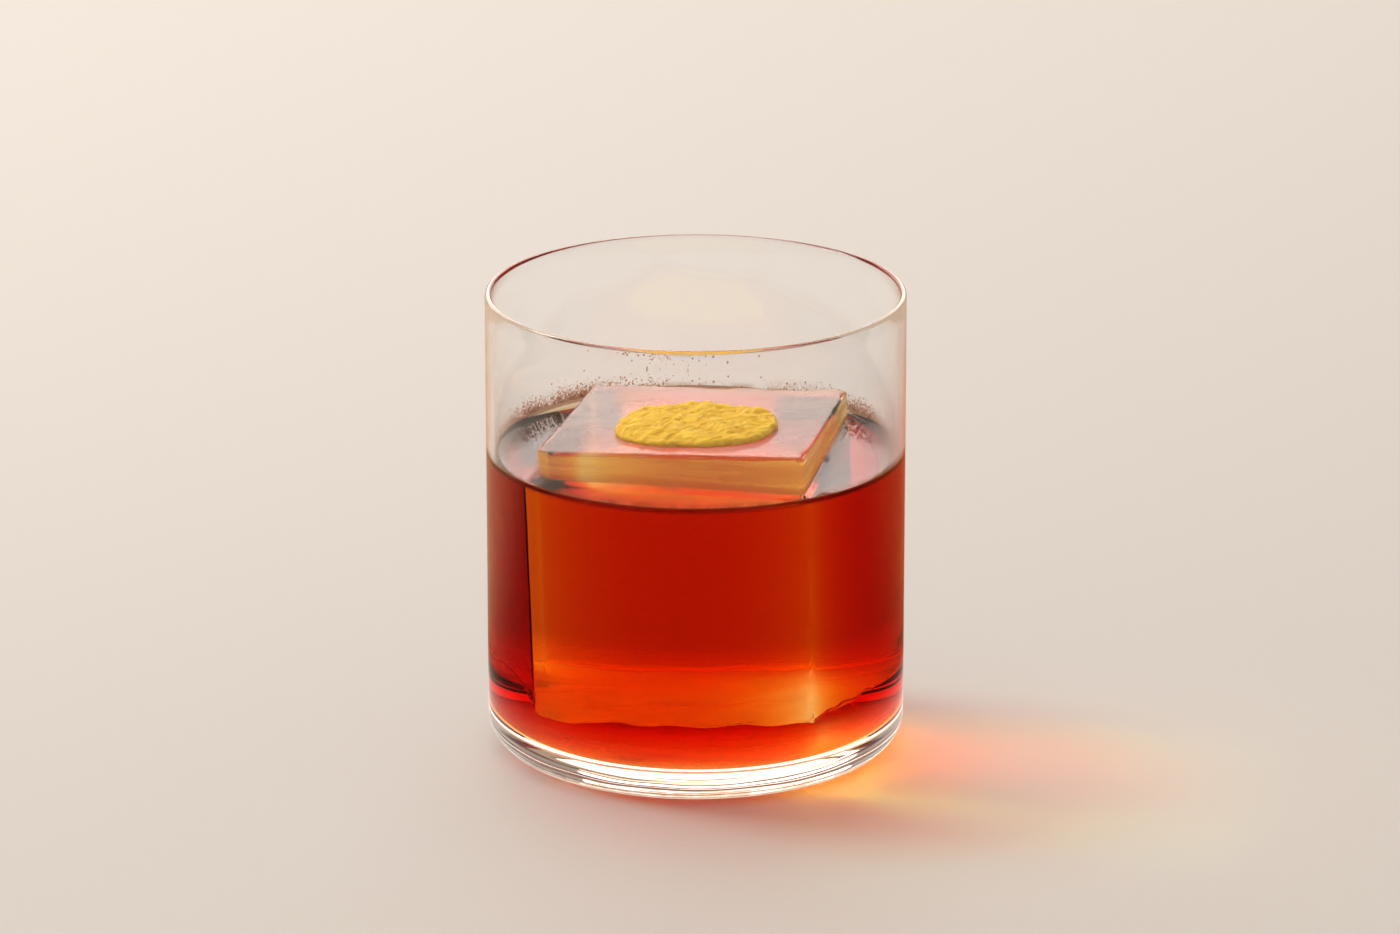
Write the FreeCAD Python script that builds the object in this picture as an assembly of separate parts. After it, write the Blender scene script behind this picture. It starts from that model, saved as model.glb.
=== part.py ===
import FreeCAD, Part
import math
import os

# A negroni in its straight-sided tumbler: one large clear ice block floats a little
# askew in the drink, and a coin of citrus peel lies on the ice, zest up.
# Millimetres, +Z up. The origin is the centre of the circle that the glass rests on.
# -Y is the drinker's side.

# ---- Glass ----
GLASS_DIAMETER = 82.0
GLASS_HEIGHT = 92.0
WALL_AT_RIM = 1.3
WALL_AT_FLOOR = 1.8
BASE_THICKNESS = 5.5         # solid glass under the drink, at the axis
HEEL_RADIUS = 6.6            # outer rounding between wall and underside
FLOOR_CORNER_RADIUS = 7.0    # inner rounding between wall and floor
FOOT_RING_WIDTH = 4.0        # flat ring that touches the table
UNDERSIDE_DISH = 0.8         # how far the underside is hollowed inside that ring

# ---- Drink ----
LEVEL_BELOW_RIM = 33.1
MENISCUS_RISE = 1.7          # how far the drink climbs the wall
MENISCUS_WIDTH = 2.6

# ---- Ice ----
ICE_CORNER_CLEARANCE = 3.5   # corner of the centred square block to the wall, before it leans
ICE_LEFT_GROWTH = 1.8        # the block is this much wider than square, all on its left
ICE_ABOVE_DRINK = 6.3        # middle of the block's top above the level
ICE_FLOOR_CLEARANCE = 4.6    # drink under the lowest corner of the floating block
ICE_EDGE_RADIUS = 0.9        # edges softened by melting
ICE_BEVEL = 2.8              # worn upright edge at the drinker's left
ICE_YAW = -11.3              # degrees, seen from above
ICE_ROLL = -2.0              # degrees about Y, right side up
ICE_PITCH = -2.2             # degrees about X, drinker's side up
ICE_SHIFT_X = 0.4
ICE_SHIFT_Y = 1.2

# ---- Citrus peel ----
PEEL_WIDTH = 31.0
PEEL_LENGTH = 29.0
PEEL_EDGE_THICKNESS = 1.3
PEEL_CROWN = 1.1             # rise of the zest side from the edge to the middle
PEEL_EDGE_RADIUS = 0.5
PEEL_WAVE = 0.02             # unevenness of the cut outline, as a share of its radius
PEEL_SHIFT_X = 0.9           # along the block's own sides, from the middle of its top
PEEL_SHIFT_Y = -5.5
OUTLINE_POINTS = 18

# ---- Worked out from the sizes above ----
outer_radius = GLASS_DIAMETER / 2
bore_at_rim = outer_radius - WALL_AT_RIM
bore_at_floor = outer_radius - WALL_AT_FLOOR
corner_top = BASE_THICKNESS + FLOOR_CORNER_RADIUS
drink_level = GLASS_HEIGHT - LEVEL_BELOW_RIM
ice_side = (bore_at_floor - ICE_CORNER_CLEARANCE) * math.sqrt(2)


def bore_radius(z):
    """Inner radius of the glass at a height above the rounded floor corner."""
    share = (z - corner_top) / (GLASS_HEIGHT - corner_top)
    return bore_at_floor + share * (bore_at_rim - bore_at_floor)


def line(start, end):
    """Straight edge between two (radius, height) points."""
    return Part.LineSegment(FreeCAD.Vector(start[0], 0, start[1]),
                            FreeCAD.Vector(end[0], 0, end[1])).toShape()


def arc(start, middle, end):
    """Round edge through three (radius, height) points."""
    points = [FreeCAD.Vector(r, 0, z) for r, z in (start, middle, end)]
    return Part.Arc(*points).toShape()


def corner_arc(centre, radius, first_angle, last_angle):
    """Round edge about a (radius, height) centre, angles in degrees from outward."""
    angles = (first_angle, (first_angle + last_angle) / 2, last_angle)
    points = [(centre[0] + radius * math.cos(math.radians(a)),
               centre[1] + radius * math.sin(math.radians(a))) for a in angles]
    return arc(*points)


def turned(edges):
    """Solid of revolution about the glass's axis from a closed outline."""
    face = Part.Face(Part.Wire(edges))
    return face.revolve(FreeCAD.Vector(0, 0, 0), FreeCAD.Vector(0, 0, 1), 360)


def floor_outline():
    """Edges of the bore from the axis out along the floor and round its corner."""
    corner_start = bore_at_floor - FLOOR_CORNER_RADIUS
    return [
        line((0, BASE_THICKNESS), (corner_start, BASE_THICKNESS)),
        corner_arc((corner_start, corner_top), FLOOR_CORNER_RADIUS, -90, 0),
    ]


def glass():
    """Tumbler: hollowed underside, rounded heel, thick base, thin wall, fire-rounded rim."""
    ring_outside = outer_radius - HEEL_RADIUS
    ring_inside = ring_outside - FOOT_RING_WIDTH
    rim_radius = WALL_AT_RIM / 2
    rim_middle = outer_radius - rim_radius
    rim_start = GLASS_HEIGHT - rim_radius
    dish_middle = (ring_inside / 2, UNDERSIDE_DISH * 3 / 4)
    outline = [
        arc((0, UNDERSIDE_DISH), dish_middle, (ring_inside, 0)),
        line((ring_inside, 0), (ring_outside, 0)),
        corner_arc((ring_outside, HEEL_RADIUS), HEEL_RADIUS, -90, 0),
        line((outer_radius, HEEL_RADIUS), (outer_radius, rim_start)),
        corner_arc((rim_middle, rim_start), rim_radius, 0, 180),
        line((bore_at_rim, rim_start), (bore_at_floor, corner_top)),
    ]
    outline += floor_outline()
    outline.append(line((0, BASE_THICKNESS), (0, UNDERSIDE_DISH)))
    return turned(Part.__sortEdges__(outline))


def ice_placement():
    """Where the block floats: the middle of its top, turned, leaning and shifted."""
    top = FreeCAD.Vector(ICE_SHIFT_X, ICE_SHIFT_Y, drink_level + ICE_ABOVE_DRINK)
    lean = FreeCAD.Rotation(FreeCAD.Vector(0, 1, 0), ICE_ROLL)
    tip = FreeCAD.Rotation(FreeCAD.Vector(1, 0, 0), ICE_PITCH)
    turn = FreeCAD.Rotation(FreeCAD.Vector(0, 0, 1), ICE_YAW)
    return FreeCAD.Placement(top, lean.multiply(tip).multiply(turn))


def ice_height():
    """Height that keeps the leaning block's lowest corner clear of the floor."""
    half = ice_side / 2
    sides = (-half - ICE_LEFT_GROWTH, half)
    corners = [FreeCAD.Vector(x, y, 0) for x in sides for y in (-half, half)]
    placement = ice_placement()
    lowest_of_top = min(placement.multVec(corner).z for corner in corners)
    return lowest_of_top - BASE_THICKNESS - ICE_FLOOR_CLEARANCE


def worn_edge(block):
    """The upright edge at the drinker's left, on the block's own axes."""
    return min(block.Edges, key=lambda edge: edge.CenterOfMass.x + edge.CenterOfMass.y)


def ice_block():
    """Clear block with melted edges and one worn upright edge, placed in the glass."""
    half = ice_side / 2
    height = ice_height()
    corner = FreeCAD.Vector(-half - ICE_LEFT_GROWTH, -half, -height)
    block = Part.makeBox(ice_side + ICE_LEFT_GROWTH, ice_side, height, corner)
    block = block.makeChamfer(ICE_BEVEL, [worn_edge(block)])
    block = block.makeFillet(ICE_EDGE_RADIUS, block.Edges)
    block.Placement = ice_placement()
    return block


def drink(ice):
    """Drink: fills the bore up to its level, climbs the wall a little, passes round the ice."""
    edge_height = drink_level + MENISCUS_RISE
    edge_radius = bore_radius(edge_height)
    flat_radius = edge_radius - MENISCUS_WIDTH
    # The climb is shallow at first and steep at the wall.
    bend = (edge_radius - MENISCUS_WIDTH * 0.36, drink_level + MENISCUS_RISE * 0.32)
    outline = [
        line((bore_at_floor, corner_top), (edge_radius, edge_height)),
        arc((edge_radius, edge_height), bend, (flat_radius, drink_level)),
        line((flat_radius, drink_level), (0, drink_level)),
        line((0, drink_level), (0, BASE_THICKNESS)),
    ]
    outline += floor_outline()
    return turned(Part.__sortEdges__(outline)).cut(ice)


def peel_outline():
    """Closed curve of the coin, cut by hand and so slightly uneven."""
    points = []
    for i in range(OUTLINE_POINTS):
        angle = 2 * math.pi * i / OUTLINE_POINTS
        wave = 1 + PEEL_WAVE * (math.cos(3 * angle + 0.6) + 0.5 * math.cos(5 * angle + 2.1))
        points.append(FreeCAD.Vector(PEEL_WIDTH / 2 * wave * math.cos(angle),
                                     PEEL_LENGTH / 2 * wave * math.sin(angle), 0))
    curve = Part.BSplineCurve()
    curve.interpolate(Points=points, PeriodicFlag=True)
    return Part.Wire(curve.toShape())


def citrus_peel():
    """Coin of peel sliced off a round fruit: flat pith below, domed zest above."""
    thickness = PEEL_EDGE_THICKNESS + PEEL_CROWN
    half = max(PEEL_WIDTH, PEEL_LENGTH) / 2
    dome_radius = (half ** 2 + PEEL_CROWN ** 2) / (2 * PEEL_CROWN)
    coin = Part.Face(peel_outline()).extrude(FreeCAD.Vector(0, 0, thickness))
    dome = Part.makeSphere(dome_radius, FreeCAD.Vector(0, 0, thickness - dome_radius))
    coin = coin.common(dome)
    zest = max(coin.Faces, key=lambda face: face.CenterOfMass.z)
    coin = coin.makeFillet(PEEL_EDGE_RADIUS, zest.Edges)
    on_block = FreeCAD.Placement(FreeCAD.Vector(PEEL_SHIFT_X, PEEL_SHIFT_Y, 0), FreeCAD.Rotation())
    coin.Placement = ice_placement().multiply(on_block)
    return coin


def build():
    """Every node of the part, by name."""
    ice = ice_block()
    return {
        "glass": glass(),
        "drink": drink(ice),
        "ice_block": ice,
        "citrus_peel": citrus_peel(),
    }


os.makedirs("parts", exist_ok=True)
for node, shape in build().items():
    shape.exportStep("parts/" + node + ".step")
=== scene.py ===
import math

import bmesh
import bpy
import numpy as np
from mathutils import Matrix, Vector, noise


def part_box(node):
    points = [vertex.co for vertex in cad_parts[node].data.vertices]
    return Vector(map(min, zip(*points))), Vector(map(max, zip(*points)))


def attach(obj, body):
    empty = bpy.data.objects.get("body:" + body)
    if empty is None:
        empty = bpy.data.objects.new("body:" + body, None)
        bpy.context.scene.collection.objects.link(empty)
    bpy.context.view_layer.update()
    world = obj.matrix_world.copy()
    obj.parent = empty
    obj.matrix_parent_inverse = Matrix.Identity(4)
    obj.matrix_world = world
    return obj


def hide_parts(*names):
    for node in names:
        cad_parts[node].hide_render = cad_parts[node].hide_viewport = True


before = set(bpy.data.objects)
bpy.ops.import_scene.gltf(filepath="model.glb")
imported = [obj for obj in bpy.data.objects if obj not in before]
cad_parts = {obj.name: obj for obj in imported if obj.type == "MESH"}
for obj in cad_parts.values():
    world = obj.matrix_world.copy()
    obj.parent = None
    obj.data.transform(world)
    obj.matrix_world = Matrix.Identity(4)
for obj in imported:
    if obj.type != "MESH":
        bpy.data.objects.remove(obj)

# A negroni in its straight tumbler: clear glass, deep red drink, one large clear ice
# block and a coin of citrus peel. Metres, +Z up, the glass stands on z = 0.

MM = 0.001
NOISE_SEED = 7
noise.seed_set(NOISE_SEED)                   # else noise_vector starts from the clock
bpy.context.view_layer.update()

# ---- Places read from the frame ----
glass_low, glass_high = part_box("glass")
drink_low, drink_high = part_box("drink")
glass_height = glass_high[2]
outer_radius = (glass_high[0] - glass_low[0]) / 2
floor_top = drink_low[2]
wash_line = drink_high[2]                    # top of the drink's climb at the wall
bore_at_wash = (drink_high[0] - drink_low[0]) / 2

# ---- Glass ----
WALL_AT_RIM = 1.3 * MM
WALL_AT_FLOOR = 1.8 * MM
HEEL_RADIUS = 6.6 * MM
FLOOR_CORNER_RADIUS = 7.0 * MM
FOOT_RING_WIDTH = 4.0 * MM
UNDERSIDE_DISH = 0.8 * MM
BASE_WAVE = 0.16 * MM                        # unevenness of the heel
GLASS_IOR = 1.5
GLASS_SHADE = (0.94, 0.94, 0.94, 1)          # what the dry glass lets through
TOO_FLAT = 0.97                              # mirrored share from which nothing passes
TRAPPED_TURNS = 2.5                          # mirrored turns after which light leaks out
LEAK_COLOUR = (0.86, 0.72, 0.60, 1)
FOG_BELOW_RIM = 8.0 * MM                     # the breath of fog starts this far down
FOG_ROUGHNESS = 0.16
WASH_LINE_BROWN = (0.48, 0.28, 0.18, 1)           # brown along the wash line
BROWN_BAND_HEIGHT = 1.3 * MM
MIST_HEIGHT = 3.6 * MM                       # fine brown mist above it at the back
FILM_HEIGHT = 11.0 * MM                      # bubbly film low on the wetted wall
FILM_SHARE = 0.36
FOOT_GLOW = 0.85                             # share of glow in the wet foot
FOOT_GLOW_COLOUR = (1.0, 0.97, 0.90, 1)
FOOT_GLOW_RADIUS = 33.0 * MM
FOOT_SHADE = (0.60, 0.42, 0.36, 1)           # what the foot lets down to the table
FLAT_LOOK, STEEP_LOOK = 0.72, 0.60           # slants between mirror and glow
ONWARD_SHARE = 0.35                          # share that milky matter scatters onward

# ---- Drink ----
MENISCUS_RISE = 1.7 * MM
MENISCUS_WIDTH = 2.6 * MM
ICE_CLIMB = 0.9 * MM                         # how far the drink climbs the ice
ICE_CLIMB_WIDTH = 1.8 * MM
CLIMB_DECAY = 0.42                           # share of its width over which a climb dies away
INTO_WALL = 0.12 * MM                        # the drink reaches this far into the glass
DRINK_IOR = 1.36
DRINK_COLOUR = (0.981, 0.832, 0.56, 1)       # what is left after one step of depth
DRINK_DENSITY = 1000.0                       # steps of depth in a metre
GATHERED_LIGHT = (1.00, 1.22, 1.05, 1)       # the round drink gathers light like a lens

# ---- Ice ----
ICE_IOR = 1.31
INTO_ICE = 0.15 * MM                         # the drink reaches this far into the ice
ICE_WAVE = 0.10 * MM                         # unevenness of the melted faces
ICE_EDGE_RADIUS = 0.9 * MM
ICE_BEVEL = 2.8 * MM
EDGE_CHIPS = 0.28                            # how deep the edges are nibbled
UNDERSIDE_RIPPLE = 0.9 * MM                  # slow waves in the melted underside
ICE_GATHERED_LIGHT = (1.56, 1.92, 1.58, 1)
UNDERSIDE_GATHERED_LIGHT = (2.2, 2.6, 2.1, 1)
UNDERSIDE_MILK = 0.75                        # share of milky bubbles in the underside
UNDERSIDE_MIRROR = 0.8                       # share that throws light back like foil
ICE_HAZE_AND_SHEEN = 0.46                              # share of pale haze on the melting top, partly frost and partly painted sheen
SIDE_PAINTED_AMBER = 0.38                             # share of painted amber on its sides in the air, for the drink's light seen through the ice
# pale lilac of the top haze: partly frost, partly a painted sheen in the colour of the back light it
# mirrors
FROST_AND_SHEEN_COLOUR = (0.72, 0.62, 0.60, 1)
# painted amber: deep next to the drink, paler in streaks above; it stands in for the drink's light seen
# through the ice
PAINTED_AMBER_DEEP, PAINTED_AMBER_PALE = (0.42, 0.20, 0.03, 1), (1.0, 0.74, 0.18, 1)
ICE_ROUGHNESS = 0.26
FOIL_ROUGHNESS = 0.2
MILK_COLOUR = (0.97, 0.97, 0.97, 1)

# ---- Peel ----
PEEL_RINGS = 110
PEEL_SPOKES = 360
PEEL_EDGE_THICKNESS = 1.5 * MM
ZEST_RIDGE = (0.98, 0.68, 0.060, 1)
# darker colour of the folds and oil glands: painted shade
ZEST_FOLD_SHADE = (0.66, 0.33, 0.010, 1)
ZEST_BLUSH = (0.90, 0.53, 0.020, 1)
PITH_COLOUR = (0.85, 0.60, 0.16, 1)

# ---- Condensation ----
BEAD_SEED = 7
BEAD_LOW, BEAD_HIGH = 0.07 * MM, 0.26 * MM   # radius of the beads inside the wall
BEAD_DENSITY = 75000000.0                    # beads in a square metre where it is wettest
WATER_IOR = 1.34
# clear water beads painted brown, with brown patches of painted glint: they stand in for the drink's
# light the beads pick up
BEAD_PAINTED_TINT = (0.80, 0.60, 0.50, 1)
BEAD_PAINTED_GLINT, PAINTED_GLINT_SHARE = (0.66, 0.42, 0.30, 1), 0.75
BEAD_SHADE = (0.9, 0.8, 0.7, 1)
BEADS_BELOW_RIM = 9 * MM
BEAD_RISE = 1.25 * MM                        # height over which the beads thin out
WET_LEFT, WET_RIGHT = (142, 30), (38, 16)    # azimuth and spread of the wettest wall, degrees

# ---- Light and camera ----
CAMERA_DISTANCE = 1.30
CAMERA_ASIDE = 0.83 * MM
CAMERA_HEIGHT = 0.471
CAMERA_PITCH = math.radians(17.70)
LENS = 179.2
SENSOR = 36.0
FLOOR_COLOUR = (0.67, 0.66, 0.64, 1)
# colours the floor takes only where the glass mirrors it: painted reflections, darker than the floor
# and redder on the right
MIRRORED_FRONT = (0.05, 0.025, 0.012, 1)
MIRRORED_FAR = (0.50, 0.36, 0.27, 1)
MIRRORED_LEFT = (0.50, 0.30, 0.17, 1)
MIRRORED_RIGHT = (0.60, 0.12, 0.03, 1)
MIRROR_NEAR, MIRROR_AFAR = 200 * MM, 330 * MM     # reach from near to far floor
MIRROR_LEFTWARD, MIRROR_RIGHTWARD = -20 * MM, 35 * MM
MIRROR_BEHIND = 110 * MM                     # from here back the mirrored floor is the side's
PAINTED_FOOT_GLOW = (0.95, 0.92, 0.86, 1)           # painted glow of the floor close round the foot, seen only through or mirrored in the base
PAINTED_FOOT_GLOW_RADIUS = 78.0 * MM
WORLD_COLOUR, WORLD_STRENGTH = (1.0, 0.86, 0.72, 1), 0.48
# name, azimuth and elevation in degrees, distance, size, strength, colour
LAMPS = (("key", 155, 44, 1.6, (0.46, 0.46), 14.0, (1.0, 0.95, 0.88)),
         ("back_glow", 97, 21, 2.2, (2.6, 1.0), 2.7, (1.0, 0.84, 0.80)),
         ("overhead", 118, 63, 1.8, (1.0, 1.0), 3.0, (1.0, 0.97, 0.94)))

drink_level = wash_line - MENISCUS_RISE
corner_top = floor_top + FLOOR_CORNER_RADIUS
bore_at_floor = outer_radius - WALL_AT_FLOOR
bore_at_rim = outer_radius - WALL_AT_RIM
ring_start = outer_radius - HEEL_RADIUS - FOOT_RING_WIDTH


# ================= Mesh helpers =================

def new_object(name, mesh):
    piece = bpy.data.objects.new(name, mesh)
    bpy.context.scene.collection.objects.link(piece)
    return piece


def lathe(name, outline, steps=256):
    """Closed solid turned about Z from (radius, height) points that run from the
    axis, round the outside, and back to the axis."""
    ring_points = outline[1:-1]
    vertices = [(0, 0, outline[0][1])]
    for radius, height in ring_points:
        for i in range(steps):
            angle = 2 * math.pi * i / steps
            vertices.append((radius * math.cos(angle), radius * math.sin(angle), height))
    vertices.append((0, 0, outline[-1][1]))
    last = len(vertices) - 1
    top_ring = last - steps
    faces = []
    for i in range(steps):
        j = (i + 1) % steps
        faces.append((0, 1 + j, 1 + i))
        faces.append((last, top_ring + i, top_ring + j))
        for ring in range(len(ring_points) - 1):
            low = 1 + ring * steps
            faces.append((low + i, low + j, low + steps + j, low + steps + i))
    mesh = bpy.data.meshes.new(name)
    mesh.from_pydata(vertices, [], faces)
    mesh.update()
    return new_object(name, mesh)


def arc_points(centre, radius, first, last, steps):
    """(radius, height) points on an arc, angles in degrees from outward."""
    angles = np.radians(np.linspace(first, last, steps))
    return [(centre[0] + radius * math.cos(a), centre[1] + radius * math.sin(a)) for a in angles]


def line_points(start, end, steps):
    """Points from start to end, without the end itself."""
    return [(start[0] + (end[0] - start[0]) * i / steps,
             start[1] + (end[1] - start[1]) * i / steps) for i in range(steps)]


def outward(piece):
    """Makes every face of a closed piece point out."""
    shape = bmesh.new()
    shape.from_mesh(piece.data)
    bmesh.ops.remove_doubles(shape, verts=shape.verts, dist=1e-7)
    bmesh.ops.recalc_face_normals(shape, faces=shape.faces)
    shape.to_mesh(piece.data)
    shape.free()


def smooth(piece, angle=35):
    piece.data.shade_smooth()
    piece.data.set_sharp_from_angle(angle=math.radians(angle))


def apply_modifiers(piece):
    """Turns a piece with live modifiers into a plain mesh."""
    graph = bpy.context.evaluated_depsgraph_get()
    done = bpy.data.meshes.new_from_object(piece.evaluated_get(graph))
    piece.modifiers.clear()
    piece.data = done


# ================= Material helpers =================

def new_material(name):
    material = bpy.data.materials.new(name)
    material.use_nodes = True
    nodes = material.node_tree.nodes
    return material, nodes, material.node_tree.links, nodes["Principled BSDF"]


def feed(links, source, socket):
    """Gives a socket a fixed value, or the output of another node."""
    if isinstance(source, bpy.types.NodeSocket):
        links.new(source, socket)
    else:
        socket.default_value = source


def reckon(nodes, links, operation, first, second=None):
    """Result of one sum on numbers, each fixed or from another node."""
    node = nodes.new("ShaderNodeMath")
    node.operation = operation
    feed(links, first, node.inputs[0])
    if second is not None:
        feed(links, second, node.inputs[1])
    return node.outputs[0]


def times(nodes, links, first, *others):
    """Product of values."""
    for other in others:
        first = reckon(nodes, links, "MULTIPLY", first, other)
    return first


def part_of(nodes, links, vector, axis):
    """One axis of a vector."""
    split = nodes.new("ShaderNodeSeparateXYZ")
    links.new(vector, split.inputs[0])
    return split.outputs[axis]


def length_of(nodes, links, vector):
    node = nodes.new("ShaderNodeVectorMath")
    node.operation = "LENGTH"
    links.new(vector, node.inputs[0])
    return node.outputs["Value"]


def object_place(nodes):
    return nodes.new("ShaderNodeTexCoord").outputs["Object"]


def soft_step(nodes, links, value, low, high):
    """0 where a value is at low, 1 where it is at high."""
    ramp = nodes.new("ShaderNodeMapRange")
    ramp.interpolation_type = "SMOOTHSTEP"
    feed(links, low, ramp.inputs["From Min"])
    feed(links, high, ramp.inputs["From Max"])
    links.new(value, ramp.inputs["Value"])
    return ramp.outputs["Result"]


def height_ramp(nodes, links, low, high):
    """Mask that is 0 at one height and 1 at another."""
    return soft_step(nodes, links, part_of(nodes, links, object_place(nodes), "Z"), low, high)


def clear_dielectric(shader, ior):
    """Sets a Principled shader up as polished clear matter."""
    shader.inputs["Base Color"].default_value = (1, 1, 1, 1)
    shader.inputs["Transmission Weight"].default_value = 1.0
    shader.inputs["Roughness"].default_value = 0.0
    shader.inputs["IOR"].default_value = ior


def touching_dielectric(nodes, links, ior, colour=None):
    """Surface where two clear things touch: it bends light, hardly mirrors it, and
    only throws it back where the slant is too flat to pass."""
    bend = nodes.new("ShaderNodeBsdfRefraction")
    if colour:
        links.new(colour, bend.inputs["Color"])
    bend.inputs["IOR"].default_value = ior
    bend.inputs["Roughness"].default_value = 0.0
    bounce = nodes.new("ShaderNodeBsdfGlossy")
    bounce.inputs["Roughness"].default_value = 0.0
    bounce.inputs["Color"].default_value = (1, 1, 1, 1)
    slant = nodes.new("ShaderNodeFresnel")
    slant.inputs["IOR"].default_value = ior
    too_flat = reckon(nodes, links, "GREATER_THAN", slant.outputs[0], TOO_FLAT)
    return choose_surface(nodes, links, too_flat, bend.outputs[0], bounce.outputs[0])


def let_light_through(material, surface, tint):
    """Shadow rays pass with a tint. Light that has run round inside many times leaks out."""
    nodes, links = material.node_tree.nodes, material.node_tree.links
    path = nodes.new("ShaderNodeLightPath")
    trapped = reckon(nodes, links, "GREATER_THAN", path.outputs["Glossy Depth"], TRAPPED_TURNS)
    leak = nodes.new("ShaderNodeBsdfTransparent")
    leak.inputs["Color"].default_value = LEAK_COLOUR
    clear = nodes.new("ShaderNodeBsdfTransparent")
    clear.inputs["Color"].default_value = tint
    seen = choose_surface(nodes, links, trapped, surface, leak.outputs[0])
    passed = choose_surface(nodes, links, path.outputs["Is Shadow Ray"], seen, clear.outputs[0])
    links.new(passed, nodes["Material Output"].inputs["Surface"])


def choose_surface(nodes, links, mask, where_zero, where_one):
    """Mix of two surfaces by a mask or a fixed share."""
    mix = nodes.new("ShaderNodeMixShader")
    feed(links, mask, mix.inputs[0])
    links.new(where_zero, mix.inputs[1])
    links.new(where_one, mix.inputs[2])
    return mix.outputs[0]


def soft_patches(nodes, links, place, scale, detail, low, high):
    """Soft patches of noise: 0 in the gaps, 1 inside a patch."""
    cloud = nodes.new("ShaderNodeTexNoise")
    for source, label in ((place, "Vector"), (scale, "Scale"), (detail, "Detail")):
        feed(links, source, cloud.inputs[label])
    return soft_step(nodes, links, cloud.outputs["Fac"], low, high)


def mottle_group():
    """Node group of soft patches, for the colour or roughness of several materials."""
    group = bpy.data.node_groups.new("soft_mottle", "ShaderNodeTree")
    sockets = group.interface
    sockets.new_socket(name="Place", in_out="INPUT", socket_type="NodeSocketVector")
    labels = ("Scale", "Detail", "Low", "High")
    for label, value in zip(labels, (200.0, 3.0, 0.45, 0.60)):
        number = sockets.new_socket(name=label, in_out="INPUT", socket_type="NodeSocketFloat")
        number.default_value = value
    sockets.new_socket(name="Mask", in_out="OUTPUT", socket_type="NodeSocketFloat")
    start, end = group.nodes.new("NodeGroupInput"), group.nodes.new("NodeGroupOutput")
    given = [start.outputs[label] for label in ("Place",) + labels]
    mask = soft_patches(group.nodes, group.links, *given)
    group.links.new(mask, end.inputs["Mask"])
    return group


soft_mottle = mottle_group()


def stretched_place(nodes, links, stretch):
    """Object coordinates, stretched along each axis."""
    squeeze = nodes.new("ShaderNodeMapping")
    squeeze.inputs["Scale"].default_value = stretch
    links.new(object_place(nodes), squeeze.inputs["Vector"])
    return squeeze.outputs["Vector"]


def mottle(nodes, links, scale, detail, low, high, stretch=(1, 1, 1)):
    """Mask of soft patches for a colour or a roughness."""
    node = nodes.new("ShaderNodeGroup")
    node.node_tree = soft_mottle
    for label, value in (("Scale", scale), ("Detail", detail), ("Low", low), ("High", high)):
        node.inputs[label].default_value = value
    links.new(stretched_place(nodes, links, stretch), node.inputs["Place"])
    return node.outputs["Mask"]


def own_mottle(nodes, links, scale, detail, low, high, stretch=(1, 1, 1)):
    """The same mask built in the material itself, where it chooses between surfaces."""
    place = stretched_place(nodes, links, stretch)
    return soft_patches(nodes, links, place, scale, detail, low, high)


def colour_mix(nodes, links, first, second, share):
    """Colour between two others; each is a fixed colour or a node's output."""
    mix = nodes.new("ShaderNodeMix")
    mix.data_type = "RGBA"
    feed(links, first, mix.inputs[6])
    feed(links, second, mix.inputs[7])
    feed(links, share, mix.inputs[0])
    return mix.outputs[2]


def milky(nodes, links, colour, onward=ONWARD_SHARE):
    """Matter full of tiny bubbles: it scatters light to both sides."""
    back = nodes.new("ShaderNodeBsdfDiffuse")
    through = nodes.new("ShaderNodeBsdfTranslucent")
    for scatter in (back, through):
        feed(links, colour, scatter.inputs["Color"])
    return choose_surface(nodes, links, onward, back.outputs[0], through.outputs[0])


# ================= Glass =================

def bore_radius(z):
    share = (z - corner_top) / (glass_height - corner_top)
    return bore_at_floor + share * (bore_at_rim - bore_at_floor)


def bore_outline(top, grow=0.0, steps=24):
    """Points of the bore from a height down its wall, round the corner to the axis."""
    corner_start = bore_at_floor - FLOOR_CORNER_RADIUS
    wall = line_points((bore_radius(top) + grow, top), (bore_at_floor + grow, corner_top), steps)
    corner = arc_points((corner_start, corner_top), FLOOR_CORNER_RADIUS + grow, 0, -90, 14)
    floor = line_points((corner_start, floor_top - grow), (0, floor_top - grow), 6)
    return wall + corner + floor[1:] + [(0, floor_top - grow)]


def make_glass():
    ring_outside = outer_radius - HEEL_RADIUS
    ring_inside = ring_outside - FOOT_RING_WIDTH
    rim_radius = WALL_AT_RIM / 2
    rim_start = glass_height - rim_radius
    dish = [(ring_inside * i / 8, UNDERSIDE_DISH * (1 - (i / 8) ** 2)) for i in range(8)]
    heel = arc_points((ring_outside, HEEL_RADIUS), HEEL_RADIUS, -90, 0, 18)
    wall = line_points((outer_radius, HEEL_RADIUS), (outer_radius, rim_start), 24)
    rim = arc_points((outer_radius - rim_radius, rim_start), rim_radius, 0, 180, 13)
    dry_bore = line_points((bore_at_rim, rim_start), (bore_radius(wash_line), wash_line), 10)
    outline = dish + [(ring_inside, 0)] + heel + wall[1:] + rim + dry_bore[1:] + bore_outline(wash_line)
    piece = lathe("tumbler", outline)
    outward(piece)
    for vertex in piece.data.vertices:
        vertex.co = uneven_base(vertex.co)
    smooth(piece)
    piece.data.materials.append(glass_material())
    piece.data.materials.append(wetted_glass_material())
    piece.data.materials.append(wet_foot_material())
    for face in piece.data.polygons:
        if in_drink(face.center + face.normal * 0.4 * MM):
            face.material_index = 1
        elif face.normal.z < -0.9 and face.center.z < UNDERSIDE_DISH * 1.1:
            face.material_index = 2
    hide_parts("glass")
    finish_piece(piece)
    return piece


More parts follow.
